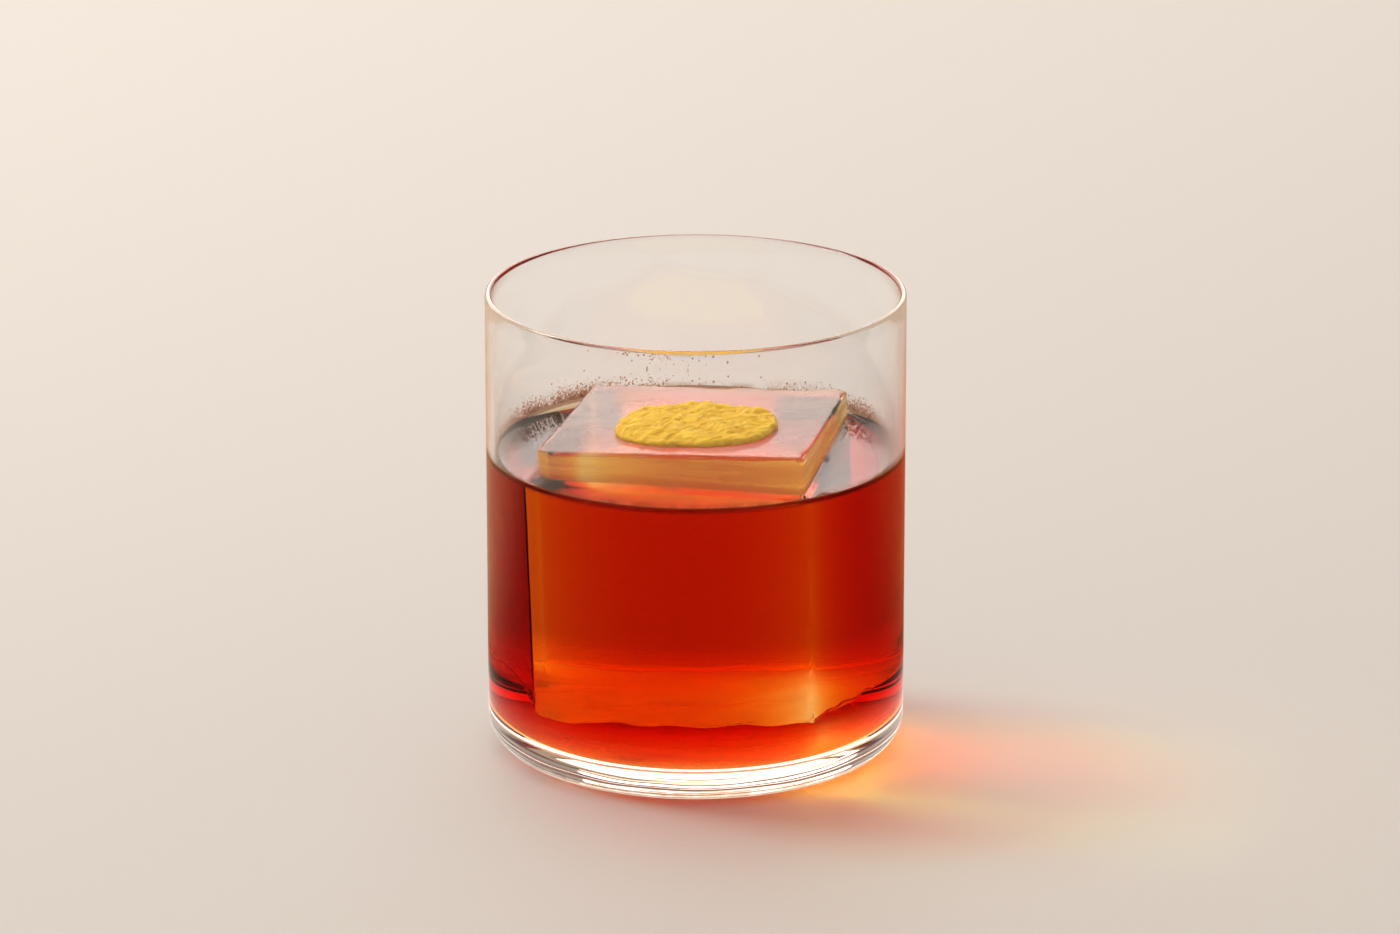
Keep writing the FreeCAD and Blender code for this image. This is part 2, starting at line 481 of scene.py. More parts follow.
def uneven_base(place):
    """The pressed heel and underside are never quite round: a slow wave in the glass."""
    radius = math.hypot(place.x, place.y)
    low = max(0.0, 1 - place.z / (HEEL_RADIUS * 0.9))
    buried = radius < ring_start or place.z > floor_top
    if buried or low == 0.0 or place.z < 0.01 * MM:
        return place
    wave = noise.noise(Vector((place.x, place.y, place.z * 2)) / (9 * MM)) - 0.9
    return place * (1 + low * wave * BASE_WAVE / radius)


def in_drink(point):
    """Whether a point lies in the bore below the wash line."""
    radius = math.hypot(point.x, point.y)
    return floor_top < point.z < wash_line and radius < bore_radius(point.z)


def glass_material():
    """Clear glass with a breath of fog above the drink and brown along the wash line."""
    material, nodes, links, shader = new_material("clear_tumbler_glass")
    clear_dielectric(shader, GLASS_IOR)
    above = height_ramp(nodes, links, drink_level, wash_line)
    fading = height_ramp(nodes, links, glass_height - FOG_BELOW_RIM, wash_line)
    patches = mottle(nodes, links, 90.0, 4.0, 0.42, 0.62, (1, 1, 0.6))
    fog = times(nodes, links, above, fading, patches, FOG_ROUGHNESS)
    links.new(fog, shader.inputs["Roughness"])
    place = object_place(nodes)
    flat = nodes.new("ShaderNodeVectorMath")
    flat.operation = "MULTIPLY"
    flat.inputs[1].default_value = (1, 1, 0)
    links.new(place, flat.inputs[0])
    reach = length_of(nodes, links, flat.outputs["Vector"])
    in_bore = soft_step(nodes, links, reach, bore_at_rim + 0.5 * MM, bore_at_rim + 0.3 * MM)
    brown_band = height_ramp(nodes, links, wash_line + BROWN_BAND_HEIGHT, wash_line)
    dried = mottle(nodes, links, 260.0, 4.0, 0.30, 0.60, (1, 1, 0.7))
    washed = times(nodes, links, brown_band, in_bore, dried)
    line = colour_mix(nodes, links, (1.0, 1.0, 1.0, 1), WASH_LINE_BROWN, washed)
    behind = soft_step(nodes, links, part_of(nodes, links, place, "Y"), 3 * MM, 14 * MM)
    aside = reckon(nodes, links, "ABSOLUTE", part_of(nodes, links, place, "X"))
    beside = soft_step(nodes, links, aside, 12 * MM, 22 * MM)
    near_line = height_ramp(nodes, links, wash_line + MIST_HEIGHT, wash_line + 0.4 * MM)
    specks = mottle(nodes, links, 1900.0, 2.0, 0.30, 0.62)
    mist = times(nodes, links, behind, beside, near_line, specks, in_bore)
    browned = colour_mix(nodes, links, line, WASH_LINE_BROWN, mist)
    links.new(browned, shader.inputs["Base Color"])
    let_light_through(material, shader.outputs[0], GLASS_SHADE)
    return material


def wetted_glass_material():
    """Bore under the drink. Low on its wall a film of tiny bubbles passes the drink's light on."""
    material, nodes, links, shader = new_material("wetted_tumbler_glass")
    nodes.remove(shader)
    climb = height_ramp(nodes, links, drink_level + 0.2 * MM, drink_level + 0.9 * MM)
    browned = colour_mix(nodes, links, (1.0, 1.0, 1.0, 1), WASH_LINE_BROWN, climb)
    clear = touching_dielectric(nodes, links, GLASS_IOR, browned)
    film = nodes.new("ShaderNodeBsdfTranslucent")
    film.inputs["Color"].default_value = (1, 1, 1, 1)
    low = height_ramp(nodes, links, floor_top + FILM_HEIGHT, floor_top + FILM_HEIGHT * 0.35)
    on_wall = height_ramp(nodes, links, floor_top + 1.5 * MM, floor_top + 4.0 * MM)
    streaks = own_mottle(nodes, links, 120.0, 4.0, 0.10, 0.62, (0.25, 0.25, 2.6))
    share = times(nodes, links, low, on_wall, streaks, FILM_SHARE)
    surface = choose_surface(nodes, links, share, clear, film.outputs[0])
    let_light_through(material, surface, (1, 1, 1, 1))
    return material


def wet_foot_material():
    """Underside, wet where it stands: looked at steeply, through the drink, it glows with
    the light gathered under it; looked at flatly, through the base, it mirrors."""
    material, nodes, links, shader = new_material("wet_tumbler_foot")
    clear_dielectric(shader, GLASS_IOR)
    reach = length_of(nodes, links, object_place(nodes))
    middle = soft_step(nodes, links, reach, FOOT_GLOW_RADIUS, FOOT_GLOW_RADIUS - 5 * MM)
    slant = nodes.new("ShaderNodeLayerWeight")
    slant.inputs["Blend"].default_value = 0.5
    steep = soft_step(nodes, links, slant.outputs["Facing"], FLAT_LOOK, STEEP_LOOK)
    patches = own_mottle(nodes, links, 80.0, 4.0, 0.15, 0.50, (0.4, 1, 1))
    share = times(nodes, links, middle, patches, steep, FOOT_GLOW)
    glow = milky(nodes, links, FOOT_GLOW_COLOUR)
    surface = choose_surface(nodes, links, share, shader.outputs[0], glow)
    let_light_through(material, surface, FOOT_SHADE)
    return material


# ================= Ice =================

def block_frame():
    """The block's own axes, centre and size, read from the flat faces of its solid."""
    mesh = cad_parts["ice_block"].data
    sums = {}
    for face in mesh.polygons:
        key = tuple(round(c, 2) for c in face.normal)
        sums[key] = sums.get(key, 0) + face.area
    axes = []
    for key in sorted(sums, key=sums.get, reverse=True):
        axis = Vector(key).normalized()
        if all(abs(axis.dot(other)) < 0.5 for other in axes):
            axes.append(axis)
    up = max(axes, key=lambda a: abs(a.z))
    up = up if up.z > 0 else -up
    right = max((a for a in axes if abs(a.dot(up)) < 0.5), key=lambda a: abs(a.x))
    right = right if right.x > 0 else -right
    away = up.cross(right)
    spans = []
    for axis in (right, away, up):
        reach = [axis.dot(vertex.co) for vertex in mesh.vertices]
        spans.append((min(reach), max(reach)))
    turn = Matrix((right, away, up)).transposed()
    centre = turn @ Vector([(low + high) / 2 for low, high in spans])
    size = Vector([high - low for low, high in spans])
    return turn, centre, size


block_turn, block_centre, block_size = block_frame()


def block_steps(half):
    """Places of the grid lines along one side: close together at the rounded edges."""
    edge, worn = 1.6 * MM, 4.4 * MM
    fine = [half - worn + (worn - edge) * i / 7 for i in range(1, 8)]
    fine += [half - edge * (1 - i / 8) for i in range(1, 9)]
    middle = list(np.linspace(-(half - worn), half - worn, 25))
    return [-f for f in reversed(fine)] + middle + fine


def core_of(place, half):
    """Point inside the block, well behind an edge or corner that melts away."""
    inset = 3.0 * MM
    return Vector([max(-half[i] + inset, min(half[i] - inset, place[i])) for i in range(3)])


def ice_body(name, shrink, wave):
    """The block: rounded edges, one worn upright edge, softly uneven melted faces."""
    half = block_size / 2 - Vector((shrink, shrink, shrink))
    radius = ICE_EDGE_RADIUS
    lines = [block_steps(half[i]) for i in range(3)]
    shape = bmesh.new()
    for axis in range(3):
        u, v = (axis + 1) % 3, (axis + 2) % 3
        for side in (-1, 1):
            grid = []
            for a in lines[u]:
                row = []
                for b in lines[v]:
                    place = Vector((0, 0, 0))
                    place[axis], place[u], place[v] = side * half[axis], a, b
                    row.append(shape.verts.new(place))
                grid.append(row)
            for i in range(len(grid) - 1):
                for j in range(len(grid[0]) - 1):
                    corners = [grid[i][j], grid[i + 1][j], grid[i + 1][j + 1], grid[i][j + 1]]
                    shape.faces.new(corners if side > 0 else list(reversed(corners)))
    bmesh.ops.remove_doubles(shape, verts=shape.verts, dist=1e-6)
    across = Vector((-1, -1, 0)).normalized()
    limit = (half.x + half.y - ICE_BEVEL) / math.sqrt(2)
    for vertex in shape.verts:
        core = Vector([max(-half[i] + radius, min(half[i] - radius, vertex.co[i])) for i in range(3)])
        out = vertex.co - core
        vertex.co = core + out.normalized() * radius
        past = vertex.co.dot(across) - limit
        soft = 0.35 * MM
        vertex.co -= across * (past + math.hypot(past, soft)) / 2
    shape.normal_update()
    moves = []
    for vertex in shape.verts:
        place = vertex.co / (11 * MM)
        swell = noise.noise(place) + 0.4 * noise.noise(place * 2.7)
        calm = 0.15 if vertex.normal.z > 0.5 else 1.0
        move = vertex.normal * (swell * calm - 1.1) * wave
        gaps = sorted(half[i] - abs(vertex.co[i]) for i in range(3))
        near_edge = math.exp(-gaps[1] / (0.8 * MM))
        nibble = noise.noise(vertex.co / (2.3 * MM)) + 0.5 * noise.noise(vertex.co / (0.9 * MM))
        chip = max(0.0, nibble + 0.05)
        moves.append(move + (core_of(vertex.co, half) - vertex.co) * near_edge * chip * EDGE_CHIPS)
    for vertex, move in zip(shape.verts, moves):
        low = math.exp(-(half.z + vertex.co.z) / (4 * MM))
        ripple = noise.noise(Vector((vertex.co.x / 7, vertex.co.y / 11, 4 * MM)) / MM)
        vertex.co += move + Vector((0, 0, low * ripple * UNDERSIDE_RIPPLE))
    mesh = bpy.data.meshes.new(name)
    shape.to_mesh(mesh)
    shape.free()
    mesh.transform(Matrix.Translation(block_centre) @ block_turn.to_4x4())
    piece = new_object(name, mesh)
    outward(piece)
    piece.data.shade_smooth()
    return piece


def ice_material():
    """Wet ice: clear in the drink, hazed in the air; pale on top, partly frost and partly painted
    sheen, and painted amber on its sides for the drink's light seen through it.
    """
    material, nodes, links, shader = new_material("clear_wet_ice")
    clear_dielectric(shader, ICE_IOR)
    misty = mottle(nodes, links, 60.0, 3.0, 0.20, 0.80)
    links.new(times(nodes, links, misty, ICE_ROUGHNESS), shader.inputs["Roughness"])
    above = height_ramp(nodes, links, drink_level + ICE_CLIMB * 0.7, drink_level + ICE_CLIMB * 0.8)
    normal = nodes.new("ShaderNodeNewGeometry").outputs["Normal"]
    level = reckon(nodes, links, "ABSOLUTE", part_of(nodes, links, normal, "Z"))
    # top faces in the air: pale haze, partly frost and partly painted sheen
    on_top = soft_step(nodes, links, level, 0.75, 0.97)
    on_side = soft_step(nodes, links, level, 0.45, 0.20)
    cloud = own_mottle(nodes, links, 75.0, 4.0, 0.15, 0.65, (0.6, 1, 1))
    frost_and_sheen = times(nodes, links, on_top, cloud, ICE_HAZE_AND_SHEEN)
    bare = choose_surface(nodes, links, frost_and_sheen, shader.outputs[0], milky(nodes, links, FROST_AND_SHEEN_COLOUR))
    # painted amber on the sides above the drink: the drink's light seen through the ice, deepest at the
    # waterline
    streaks = own_mottle(nodes, links, 230.0, 5.0, 0.25, 0.62, (0.10, 0.10, 1.5))
    waterline = height_ramp(nodes, links, drink_level + 1.2 * MM, drink_level + 2.6 * MM)
    tone = nodes.new("ShaderNodeValToRGB")
    tone.color_ramp.elements[0].color = PAINTED_AMBER_DEEP
    tone.color_ramp.elements[1].color = PAINTED_AMBER_PALE
    links.new(times(nodes, links, streaks, waterline), tone.inputs["Fac"])
    painted_amber = milky(nodes, links, tone.outputs["Color"], 0.5)
    bare = choose_surface(nodes, links, times(nodes, links, on_side, SIDE_PAINTED_AMBER), bare, painted_amber)
    sunk = touching_dielectric(nodes, links, ICE_IOR)
    surface = choose_surface(nodes, links, above, sunk, bare)
    let_light_through(material, surface, ICE_GATHERED_LIGHT)
    return material


def cloudy_ice_material():
    """Underside of the block, where the last water froze: tiny bubbles, foil-like."""
    material, nodes, links, shader = new_material("cloudy_ice_underside")
    nodes.remove(shader)
    clear = touching_dielectric(nodes, links, ICE_IOR)
    foil = nodes.new("ShaderNodeBsdfGlossy")
    foil.inputs["Color"].default_value = (1, 1, 1, 1)
    foil.inputs["Roughness"].default_value = FOIL_ROUGHNESS
    streaks = own_mottle(nodes, links, 110.0, 4.0, 0.12, 0.50, (0.35, 1, 1))
    shiny = times(nodes, links, streaks, UNDERSIDE_MIRROR)
    mirror = choose_surface(nodes, links, shiny, clear, foil.outputs[0])
    patches = own_mottle(nodes, links, 70.0, 4.0, 0.12, 0.52, (0.5, 1, 1))
    bubbly = times(nodes, links, patches, UNDERSIDE_MILK)
    surface = choose_surface(nodes, links, bubbly, mirror, milky(nodes, links, MILK_COLOUR))
    let_light_through(material, surface, UNDERSIDE_GATHERED_LIGHT)
    return material


def make_ice():
    piece = ice_body("clear_ice_block", 0.0, ICE_WAVE)
    piece.data.materials.append(ice_material())
    piece.data.materials.append(cloudy_ice_material())
    down = -(block_turn @ Vector((0, 0, 1)))
    for face in piece.data.polygons:
        if face.normal.dot(down) > 0.9:
            face.material_index = 1
    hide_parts("ice_block")
    finish_piece(piece)
    return piece


# ================= Drink =================

def distance_to_block(x, y):
    """Distance on the drink's surface from a point to the side of the ice."""
    local = block_turn.transposed() @ (Vector((x, y, drink_level)) - block_centre)
    dx = abs(local.x) - block_size.x / 2
    dy = abs(local.y) - block_size.y / 2
    if dx > 0 and dy > 0:
        return math.hypot(dx, dy)
    return max(dx, dy, 0.0)


def surface_height(x, y):
    """Height of the drink's surface: it climbs the wall and the ice a little."""
    at_wall = bore_at_wash - math.hypot(x, y)
    wall_climb = MENISCUS_RISE * math.exp(-at_wall / (MENISCUS_WIDTH * CLIMB_DECAY))
    ice_climb = ICE_CLIMB * math.exp(-distance_to_block(x, y) / (ICE_CLIMB_WIDTH * CLIMB_DECAY))
    return drink_level + wall_climb + ice_climb


def make_drink():
    rings = [bore_at_wash * i / 70 for i in range(70)]
    fine = [bore_at_wash - MENISCUS_WIDTH * 1.6 * (1 - i / 16) ** 2 for i in range(16)]
    radii = [r for r in rings if r < fine[0]] + fine + [bore_at_wash]
    top = [(radius, drink_level) for radius in radii]
    body = list(reversed(bore_outline(wash_line, INTO_WALL)))
    outline = body + list(reversed(top))
    piece = lathe("negroni", outline)
    top_vertices = [v for v in piece.data.vertices if abs(v.co.z - drink_level) < 1e-6
                    and math.hypot(v.co.x, v.co.y) < bore_at_wash + 0.5 * INTO_WALL]
    for vertex in top_vertices:
        vertex.co.z = surface_height(vertex.co.x, vertex.co.y)
    outward(piece)
    cavity = ice_body("ice_cavity", INTO_ICE, ICE_WAVE)
    cut = piece.modifiers.new("ice", "BOOLEAN")
    cut.object = cavity
    cut.operation = "DIFFERENCE"
    cut.solver = "MANIFOLD"
    apply_modifiers(piece)
    bpy.data.objects.remove(cavity)
    smooth(piece)
    mark_free_surface(piece)
    piece.data.materials.clear()
    piece.data.materials.append(drink_material())
    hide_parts("drink")
    finish_piece(piece)
    return piece


def mark_free_surface(piece):
    """Attribute that is 1 where the drink meets the air and 0 where it meets glass or ice."""
    mesh = piece.data
    free = mesh.attributes.new("free_surface", "FLOAT", "FACE")
    for face in mesh.polygons:
        inside = math.hypot(face.center.x, face.center.y) < bore_at_wash
        on_top = face.center.z > drink_level - 0.05 * MM and face.normal.z > 0.12
        free.data[face.index].value = 1.0 if inside and on_top else 0.0


def drink_material():
    material, nodes, links, shader = new_material("red_negroni")
    clear_dielectric(shader, DRINK_IOR)
    depth = nodes.new("ShaderNodeVolumeAbsorption")
    depth.inputs["Color"].default_value = DRINK_COLOUR
    depth.inputs["Density"].default_value = DRINK_DENSITY
    links.new(depth.outputs[0], nodes["Material Output"].inputs["Volume"])
    free = nodes.new("ShaderNodeAttribute")
    free.attribute_name = "free_surface"
    touching = touching_dielectric(nodes, links, DRINK_IOR)
    surface = choose_surface(nodes, links, free.outputs["Fac"], touching, shader.outputs[0])
    let_light_through(material, surface, GATHERED_LIGHT)
    return material


# ================= Peel =================

def make_peel():
    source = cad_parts["citrus_peel"].data
    local = [block_turn.transposed() @ (v.co - block_centre) for v in source.vertices]
    low = Vector([min(p[i] for p in local) for i in range(3)])
    high = Vector([max(p[i] for p in local) for i in range(3)])
    middle = (low + high) / 2
    half_x, half_y = (high.x - low.x) / 2, (high.y - low.y) / 2
    crown = high.z - low.z
    edge = PEEL_EDGE_THICKNESS
    vertices, faces = [(middle.x, middle.y, high.z - 0.3 * MM)], []

    def rim_share(angle):
        """The coin is fuller than an ellipse at its corners, its cut edge softly uneven."""
        across, along = abs(math.cos(angle)), abs(math.sin(angle))
        full = (across ** 2.5 + along ** 2.5) ** (-1 / 2.5)
        wave = 0.014 * (math.cos(3 * angle + 0.6) + 0.5 * math.cos(5 * angle + 2.1))
        around = Vector((math.cos(angle), math.sin(angle), 0.4))
        nick = 0.030 * noise.noise(around * 4) + 0.022 * noise.noise(around * 11)
        return full * (1 + wave + nick)

    profile = []
    for i in range(1, PEEL_RINGS + 1):
        share = i / PEEL_RINGS
        profile.append((share * 0.94, edge + (crown - edge) * (1 - share ** 2)))
    for i in range(1, 9):
        turn = math.pi / 2 * i / 8
        profile.append((0.94 + 0.06 * math.sin(turn), edge - 0.6 * edge * (1 - math.cos(turn))))
    profile += [(0.995, edge * 0.2), (0.98, 0.10 * MM), (0.955, 0.0)]
    profile += [(0.955 * (1 - i / 12), 0.0) for i in range(1, 12)]
    for share, height in profile:
        for i in range(PEEL_SPOKES):
            angle = 2 * math.pi * i / PEEL_SPOKES
            reach = share * rim_share(angle)
            x = middle.x - 0.4 * MM + half_x * reach * math.cos(angle)
            y = middle.y + half_y * reach * math.sin(angle)
            vertices.append((x, y, low.z + height + zest_relief(x, y, height, edge)))
    vertices.append((middle.x, middle.y, low.z))
    last = len(vertices) - 1
    final_ring = last - PEEL_SPOKES
    for i in range(PEEL_SPOKES):
        j = (i + 1) % PEEL_SPOKES
        faces.append((0, 1 + i, 1 + j))
        faces.append((last, final_ring + j, final_ring + i))
        for ring in range(len(profile) - 1):
            base = 1 + ring * PEEL_SPOKES
            faces.append((base + i, base + PEEL_SPOKES + i, base + PEEL_SPOKES + j, base + j))
    mesh = bpy.data.meshes.new("zest_coin")
    mesh.from_pydata(vertices, [], faces)
    depth = mesh.attributes.new("hollow", "FLOAT", "POINT")
    for i, vertex in enumerate(vertices):
        depth.data[i].value = zest_hollow(vertex[0], vertex[1])
    zest = mesh.attributes.new("zest", "FLOAT", "POINT")
    for i, vertex in enumerate(vertices):
        zest.data[i].value = min(1.0, max(0.0, (vertex[2] - low.z - 0.12 * MM) / (0.2 * MM)))
    mesh.transform(Matrix.Translation(block_centre) @ block_turn.to_4x4())
    piece = new_object("zest_coin", mesh)
    outward(piece)
    piece.data.shade_smooth()
    piece.data.materials.append(peel_material())
    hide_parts("citrus_peel")
    finish_piece(piece)
    return piece


def zest_hollow(x, y):
    """0 on the ridges of the zest, 1 in its folds and oil glands."""
    bend = noise.noise_vector(Vector((x, y, 2.2 * MM)) / (3.4 * MM)) * 1.3 * MM
    x, y = x + bend.x, y + bend.y
    along = (x * 0.62 + y * 0.78) / MM
    across = (x * 0.78 - y * 0.62) / MM
    fold = noise.noise(Vector((across / 1.5, along / 3.2, 3.1)))
    fold += 0.6 * noise.noise(Vector((across / 0.8, along / 1.3, 8.4)))
    fold += 0.25 * noise.noise(Vector((across / 0.35, along / 0.5, 5.0)))
    cell = noise.voronoi(Vector((x, y, 0)) / (1.25 * MM))[0]
    gland = max(0.0, 1 - cell[0] / 0.42)
    return min(1.0, max(0.0, 0.36 - 0.62 * fold + 0.35 * gland))


def zest_relief(x, y, height, edge_thickness):
    """Folds that run across the coin and the dimples of the oil glands."""
    up = min(1.0, max(0.0, height / edge_thickness - 0.3) / 0.6)
    lump = noise.noise(Vector((x, y, 0.7 * MM)) / (5.0 * MM))
    lump += 0.6 * noise.noise(Vector((x, y, 9.7 * MM)) / (2.2 * MM))
    return up * (0.42 * lump - 0.62 * zest_hollow(x, y) + 0.20) * MM


def peel_material():
    """Yellow zest, darker in the folds and glands as painted shade, pale pith along the cut edge and
    below.
    """
    material, nodes, links, shader = new_material("citrus_zest")
    hollow = nodes.new("ShaderNodeAttribute")
    hollow.attribute_name = "hollow"
    zest = nodes.new("ShaderNodeAttribute")
    zest.attribute_name = "zest"
    # the hollow mask darkens folds and glands: painted shade
    tone = nodes.new("ShaderNodeValToRGB")
    tone.color_ramp.elements[0].color = ZEST_RIDGE
    tone.color_ramp.elements[1].color = ZEST_FOLD_SHADE
    links.new(hollow.outputs["Fac"], tone.inputs["Fac"])
    patches = mottle(nodes, links, 190.0, 3.0, 0.35, 0.70)
    blushing = times(nodes, links, patches, 0.5)
    blush = colour_mix(nodes, links, tone.outputs["Color"], ZEST_BLUSH, blushing)
    skin = colour_mix(nodes, links, PITH_COLOUR, blush, zest.outputs["Fac"])
    links.new(skin, shader.inputs["Base Color"])
    shader.inputs["Roughness"].default_value = 0.48
    shader.inputs["Specular IOR Level"].default_value = 0.04
    grain = nodes.new("ShaderNodeTexNoise")
    grain.inputs["Scale"].default_value = 2600.0
    links.new(object_place(nodes), grain.inputs["Vector"])
    bump = nodes.new("ShaderNodeBump")
    bump.inputs["Strength"].default_value = 0.35
    bump.inputs["Distance"].default_value = 0.12 * MM
    links.new(grain.outputs["Fac"], bump.inputs["Height"])
    links.new(bump.outputs["Normal"], shader.inputs["Normal"])
    return material


# ================= Condensation =================

def bead_mesh():
    """A flat bead of water, its round side up along +Z, one unit across the radius."""
    sides, vertices, faces = 7, [(0, 0, 0.55)], []
    for radius, height in ((0.7, 0.38), (1.0, -0.08)):
        for i in range(sides):
            angle = 2 * math.pi * i / sides
            vertices.append((radius * math.cos(angle), radius * math.sin(angle), height))
    vertices.append((0, 0, -0.10))
    for i in range(sides):
        j = (i + 1) % sides
        faces.append((0, 1 + i, 1 + j))
        faces.append((1 + i, 1 + sides + i, 1 + sides + j, 1 + j))
        faces.append((len(vertices) - 1, 1 + sides + j, 1 + sides + i))
    mesh = bpy.data.meshes.new("bead")
    mesh.from_pydata(vertices, [], faces)
    mesh.shade_smooth()
    return mesh


def wet_patch():
    """Bare strip of the bore above the drink on which the beads sit; faces look inwards."""
    vertices, faces = [], []
    columns, rows = 120, 16
    top = glass_height - BEADS_BELOW_RIM
    for row in range(rows + 1):
        z = wash_line - 0.2 * MM + (top - wash_line) * (row / rows) ** 1.6
        for column in range(columns):
            angle = 2 * math.pi * column / columns
            radius = bore_radius(z)
            vertices.append((radius * math.cos(angle), radius * math.sin(angle), z))
    for row in range(rows):
        for column in range(columns):
            other = (column + 1) % columns
            low, high = row * columns, (row + 1) * columns
            faces.append((low + column, high + column, high + other, low + other))
    mesh = bpy.data.meshes.new("wet_patch")
    mesh.from_pydata(vertices, [], faces)
    wet = mesh.attributes.new("wetness", "FLOAT", "POINT")
    for i, (x, y, z) in enumerate(vertices):
        azimuth = math.degrees(math.atan2(y, x))
        sides = sum(math.exp(-((azimuth - aim) / spread) ** 2) for aim, spread in (WET_LEFT, WET_RIGHT))
        low = math.exp(-(max(0.0, z - wash_line) / BEAD_RISE) ** 1.4)
        patch = max(0.0, noise.noise(Vector((x, y, z)) / (5 * MM)) + 0.7)
        wet.data[i].value = sides * low * patch
    return new_object("condensation", mesh)


def beads_tree(bead, material):
    """Scatters beads by wetness, turns them onto the wall and joins them to one mesh."""
    tree = bpy.data.node_groups.new("condensation_beads", "GeometryNodeTree")
    sockets = tree.interface
    sockets.new_socket(name="Geometry", in_out="INPUT", socket_type="NodeSocketGeometry")
    for name, kind in (("Density", "NodeSocketFloat"), ("Smallest", "NodeSocketFloat"),
                       ("Largest", "NodeSocketFloat"), ("Seed", "NodeSocketInt")):
        sockets.new_socket(name=name, in_out="INPUT", socket_type=kind)
    sockets.new_socket(name="Geometry", in_out="OUTPUT", socket_type="NodeSocketGeometry")
    nodes, links = tree.nodes, tree.links
    start, end = nodes.new("NodeGroupInput"), nodes.new("NodeGroupOutput")
    wetness = nodes.new("GeometryNodeInputNamedAttribute")
    wetness.data_type = "FLOAT"
    wetness.inputs["Name"].default_value = "wetness"
    amount = nodes.new("ShaderNodeMath")
    amount.operation = "MULTIPLY"
    scatter = nodes.new("GeometryNodeDistributePointsOnFaces")
    spread = nodes.new("FunctionNodeRandomValue")
    spread.data_type = "FLOAT"
    curve = nodes.new("ShaderNodeMath")
    curve.operation = "POWER"
    curve.inputs[1].default_value = 3.0
    size = nodes.new("ShaderNodeMapRange")
    align = nodes.new("FunctionNodeAlignRotationToVector")
    align.axis = "Z"
    info = nodes.new("GeometryNodeObjectInfo")
    info.inputs["Object"].default_value = bead
    place = nodes.new("GeometryNodeInstanceOnPoints")
    realize = nodes.new("GeometryNodeRealizeInstances")
    paint = nodes.new("GeometryNodeSetMaterial")
    paint.inputs["Material"].default_value = material
    links.new(start.outputs["Geometry"], scatter.inputs["Mesh"])
    links.new(wetness.outputs["Attribute"], amount.inputs[0])
    links.new(start.outputs["Density"], amount.inputs[1])
    links.new(amount.outputs[0], scatter.inputs["Density"])
    links.new(start.outputs["Seed"], scatter.inputs["Seed"])
    links.new(start.outputs["Seed"], spread.inputs["Seed"])
    links.new(spread.outputs[1], curve.inputs[0])
    links.new(curve.outputs[0], size.inputs["Value"])
    links.new(start.outputs["Smallest"], size.inputs["To Min"])
    links.new(start.outputs["Largest"], size.inputs["To Max"])
    links.new(scatter.outputs["Normal"], align.inputs["Vector"])
    links.new(scatter.outputs["Points"], place.inputs["Points"])
    links.new(info.outputs["Geometry"], place.inputs["Instance"])
    links.new(align.outputs["Rotation"], place.inputs["Rotation"])
    links.new(size.outputs["Result"], place.inputs["Scale"])
    links.new(place.outputs["Instances"], realize.inputs["Geometry"])
    links.new(realize.outputs["Geometry"], paint.inputs["Geometry"])
    links.new(paint.outputs["Geometry"], end.inputs["Geometry"])
    return tree


def make_condensation():
    material, nodes, links, shader = new_material("water_beads")
    clear_dielectric(shader, WATER_IOR)
    shader.inputs["Base Color"].default_value = BEAD_PAINTED_TINT
    # painted glint: patches of brown scattering, lit by the lamps, for the drink's light seen in the
    # beads
    bright = own_mottle(nodes, links, 700.0, 2.0, 0.35, 0.65)
    glinting = times(nodes, links, bright, PAINTED_GLINT_SHARE)
    glint = milky(nodes, links, BEAD_PAINTED_GLINT)
    surface = choose_surface(nodes, links, glinting, shader.outputs[0], glint)
    let_light_through(material, surface, BEAD_SHADE)
    bead = new_object("bead", bead_mesh())
    piece = wet_patch()
    tree = beads_tree(bead, material)
    modifier = piece.modifiers.new("beads", "NODES")
    modifier.node_group = tree
    values = {"Density": BEAD_DENSITY, "Smallest": BEAD_LOW, "Largest": BEAD_HIGH, "Seed": BEAD_SEED}
    for item in tree.interface.items_tree:
        if item.in_out == "INPUT" and item.name in values:
            modifier[item.identifier] = values[item.name]
    apply_modifiers(piece)
    bpy.data.objects.remove(bead)
    finish_piece(piece)
    return piece


# ================= Floor, light, camera =================

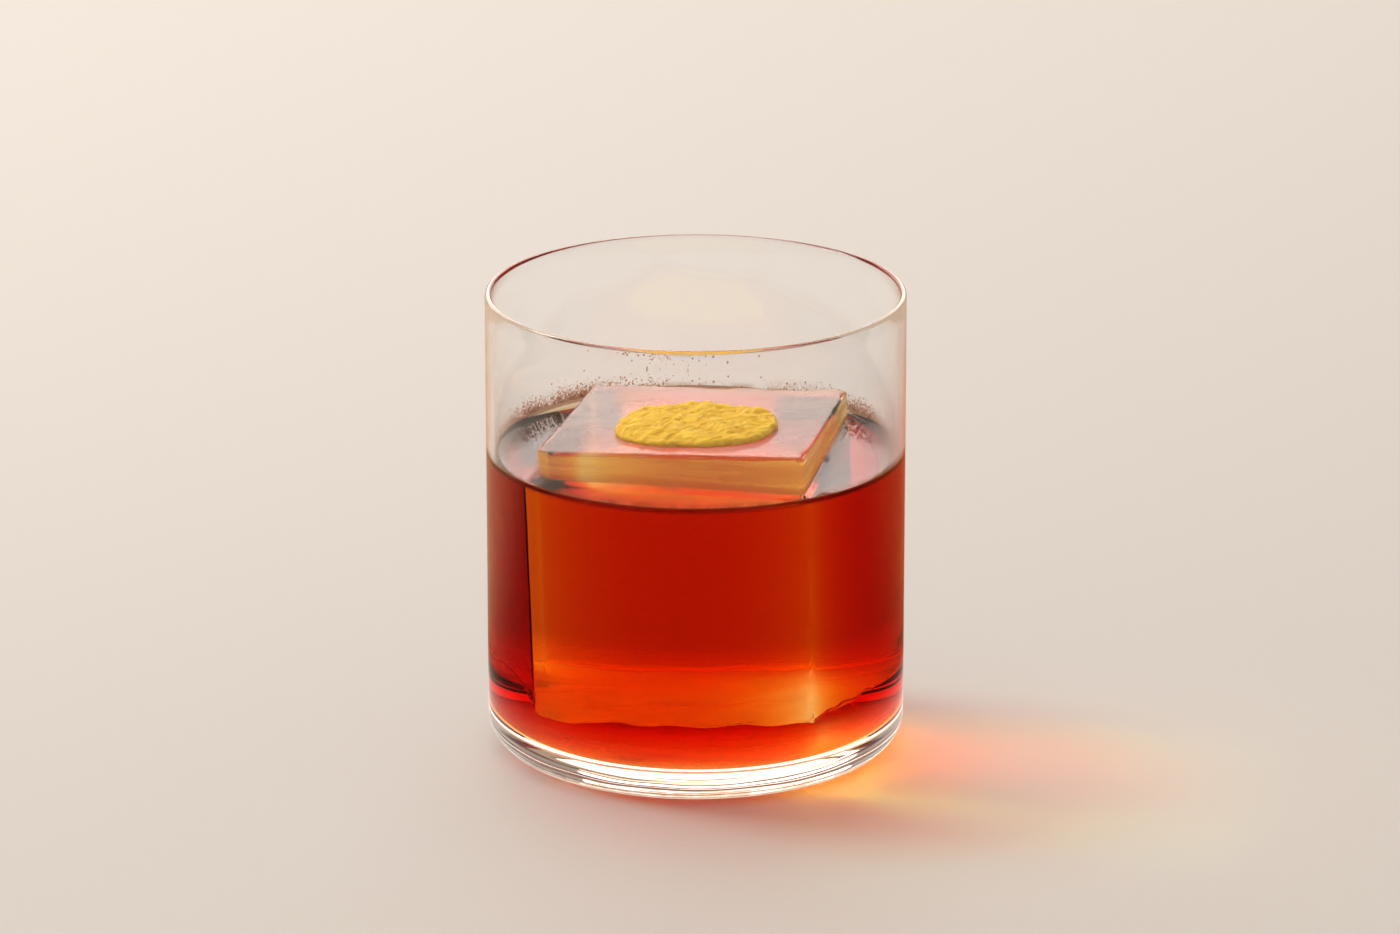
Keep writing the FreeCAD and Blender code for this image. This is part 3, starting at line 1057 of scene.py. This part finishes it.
def floor_material():
    """Pale matt floor. Mirrored in the glass it shows a painted reflection colour, darker, like a dim
    room, and redder on the right; close round the foot, seen through or mirrored by the base, it glows
    with painted light."""
    material, nodes, links, shader = new_material("pale_floor_paint")
    path = nodes.new("ShaderNodeLightPath")
    passed, bounced = path.outputs["Is Transmission Ray"], path.outputs["Is Glossy Ray"]
    no_pass = reckon(nodes, links, "SUBTRACT", 1.0, passed)
    place = object_place(nodes)
    reach = length_of(nodes, links, place)
    across = part_of(nodes, links, place, "X")
    rightward = soft_step(nodes, links, across, MIRROR_LEFTWARD, MIRROR_RIGHTWARD)
    behind = soft_step(nodes, links, part_of(nodes, links, place, "Y"), 0.0, MIRROR_BEHIND)
    afar = soft_step(nodes, links, reach, MIRROR_NEAR, MIRROR_AFAR)
    # painted reflection: the floor's colour as the glass mirrors it
    side = colour_mix(nodes, links, MIRRORED_LEFT, MIRRORED_RIGHT, rightward)
    near = colour_mix(nodes, links, MIRRORED_FRONT, side, behind)
    shade = colour_mix(nodes, links, near, MIRRORED_FAR, afar)
    short = reckon(nodes, links, "LESS_THAN", path.outputs["Glossy Depth"], TRAPPED_TURNS)
    mirrored = times(nodes, links, bounced, no_pass, short)
    colour = colour_mix(nodes, links, FLOOR_COLOUR, shade, mirrored)
    links.new(colour, shader.inputs["Base Color"])
    # painted light: the floor round the foot glows, only where the base shows it through or mirrored
    close = soft_step(nodes, links, reach, PAINTED_FOOT_GLOW_RADIUS, outer_radius)
    seen = reckon(nodes, links, "MAXIMUM", passed, bounced)
    shader.inputs["Emission Color"].default_value = PAINTED_FOOT_GLOW
    links.new(times(nodes, links, close, seen), shader.inputs["Emission Strength"])
    shader.inputs["Roughness"].default_value = 0.7
    shader.inputs["Specular IOR Level"].default_value = 0.1
    return material


def make_floor():
    """Pale floor that sweeps up into a pale backdrop far behind."""
    half, back, rise, bend = 3.5, 2.6, 3.0, 0.5
    profile = [(-2.5, 0.0), (back, 0.0)]
    profile += [(back + bend * math.sin(a), bend * (1 - math.cos(a)))
                for a in np.linspace(0.1, math.pi / 2, 14)]
    profile.append((back + bend, rise))
    vertices, faces = [], []
    for y, z in profile:
        vertices += [(-half, y, z), (half, y, z)]
    for i in range(len(profile) - 1):
        faces.append((2 * i, 2 * i + 1, 2 * i + 3, 2 * i + 2))
    mesh = bpy.data.meshes.new("pale_floor")
    mesh.from_pydata(vertices, [], faces)
    floor = new_object("pale_floor", mesh)
    floor.data.shade_smooth()
    floor.data.materials.append(floor_material())
    return floor


def soft_lamp(name, azimuth, elevation, distance, size, strength, colour):
    """Square soft light that faces the glass. Azimuth in degrees from +X towards +Y."""
    data = bpy.data.lights.new(name, "AREA")
    data.shape = "RECTANGLE"
    data.size, data.size_y = size
    data.energy = strength * size[0] * size[1] * math.pi
    data.color = colour
    lamp = bpy.data.objects.new(name, data)
    bpy.context.scene.collection.objects.link(lamp)
    a, e = math.radians(azimuth), math.radians(elevation)
    direction = Vector((math.cos(a) * math.cos(e), math.sin(a) * math.cos(e), math.sin(e)))
    aim = Vector((0, 0, glass_height / 2))
    lamp.location = aim + direction * distance
    lamp.rotation_euler = direction.to_track_quat("Z", "Y").to_euler()


def make_light():
    world = bpy.data.worlds.new("studio")
    bpy.context.scene.world = world
    world.use_nodes = True
    background = world.node_tree.nodes["Background"]
    background.inputs["Color"].default_value = WORLD_COLOUR
    background.inputs["Strength"].default_value = WORLD_STRENGTH
    for lamp in LAMPS:
        soft_lamp(*lamp)


def make_camera():
    data = bpy.data.cameras.new("camera")
    data.lens = LENS
    data.sensor_width = SENSOR
    data.clip_end = 20
    camera = bpy.data.objects.new("camera", data)
    bpy.context.scene.collection.objects.link(camera)
    camera.location = (CAMERA_ASIDE, -CAMERA_DISTANCE, CAMERA_HEIGHT)
    camera.rotation_euler = (math.pi / 2 - CAMERA_PITCH, 0, 0)
    bpy.context.scene.camera = camera


def finish_piece(piece):
    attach(piece, "root")


make_glass()
make_ice()
make_drink()
make_peel()
make_condensation()
make_floor()
make_light()
make_camera()
bpy.context.scene.view_settings.view_transform = "Standard"
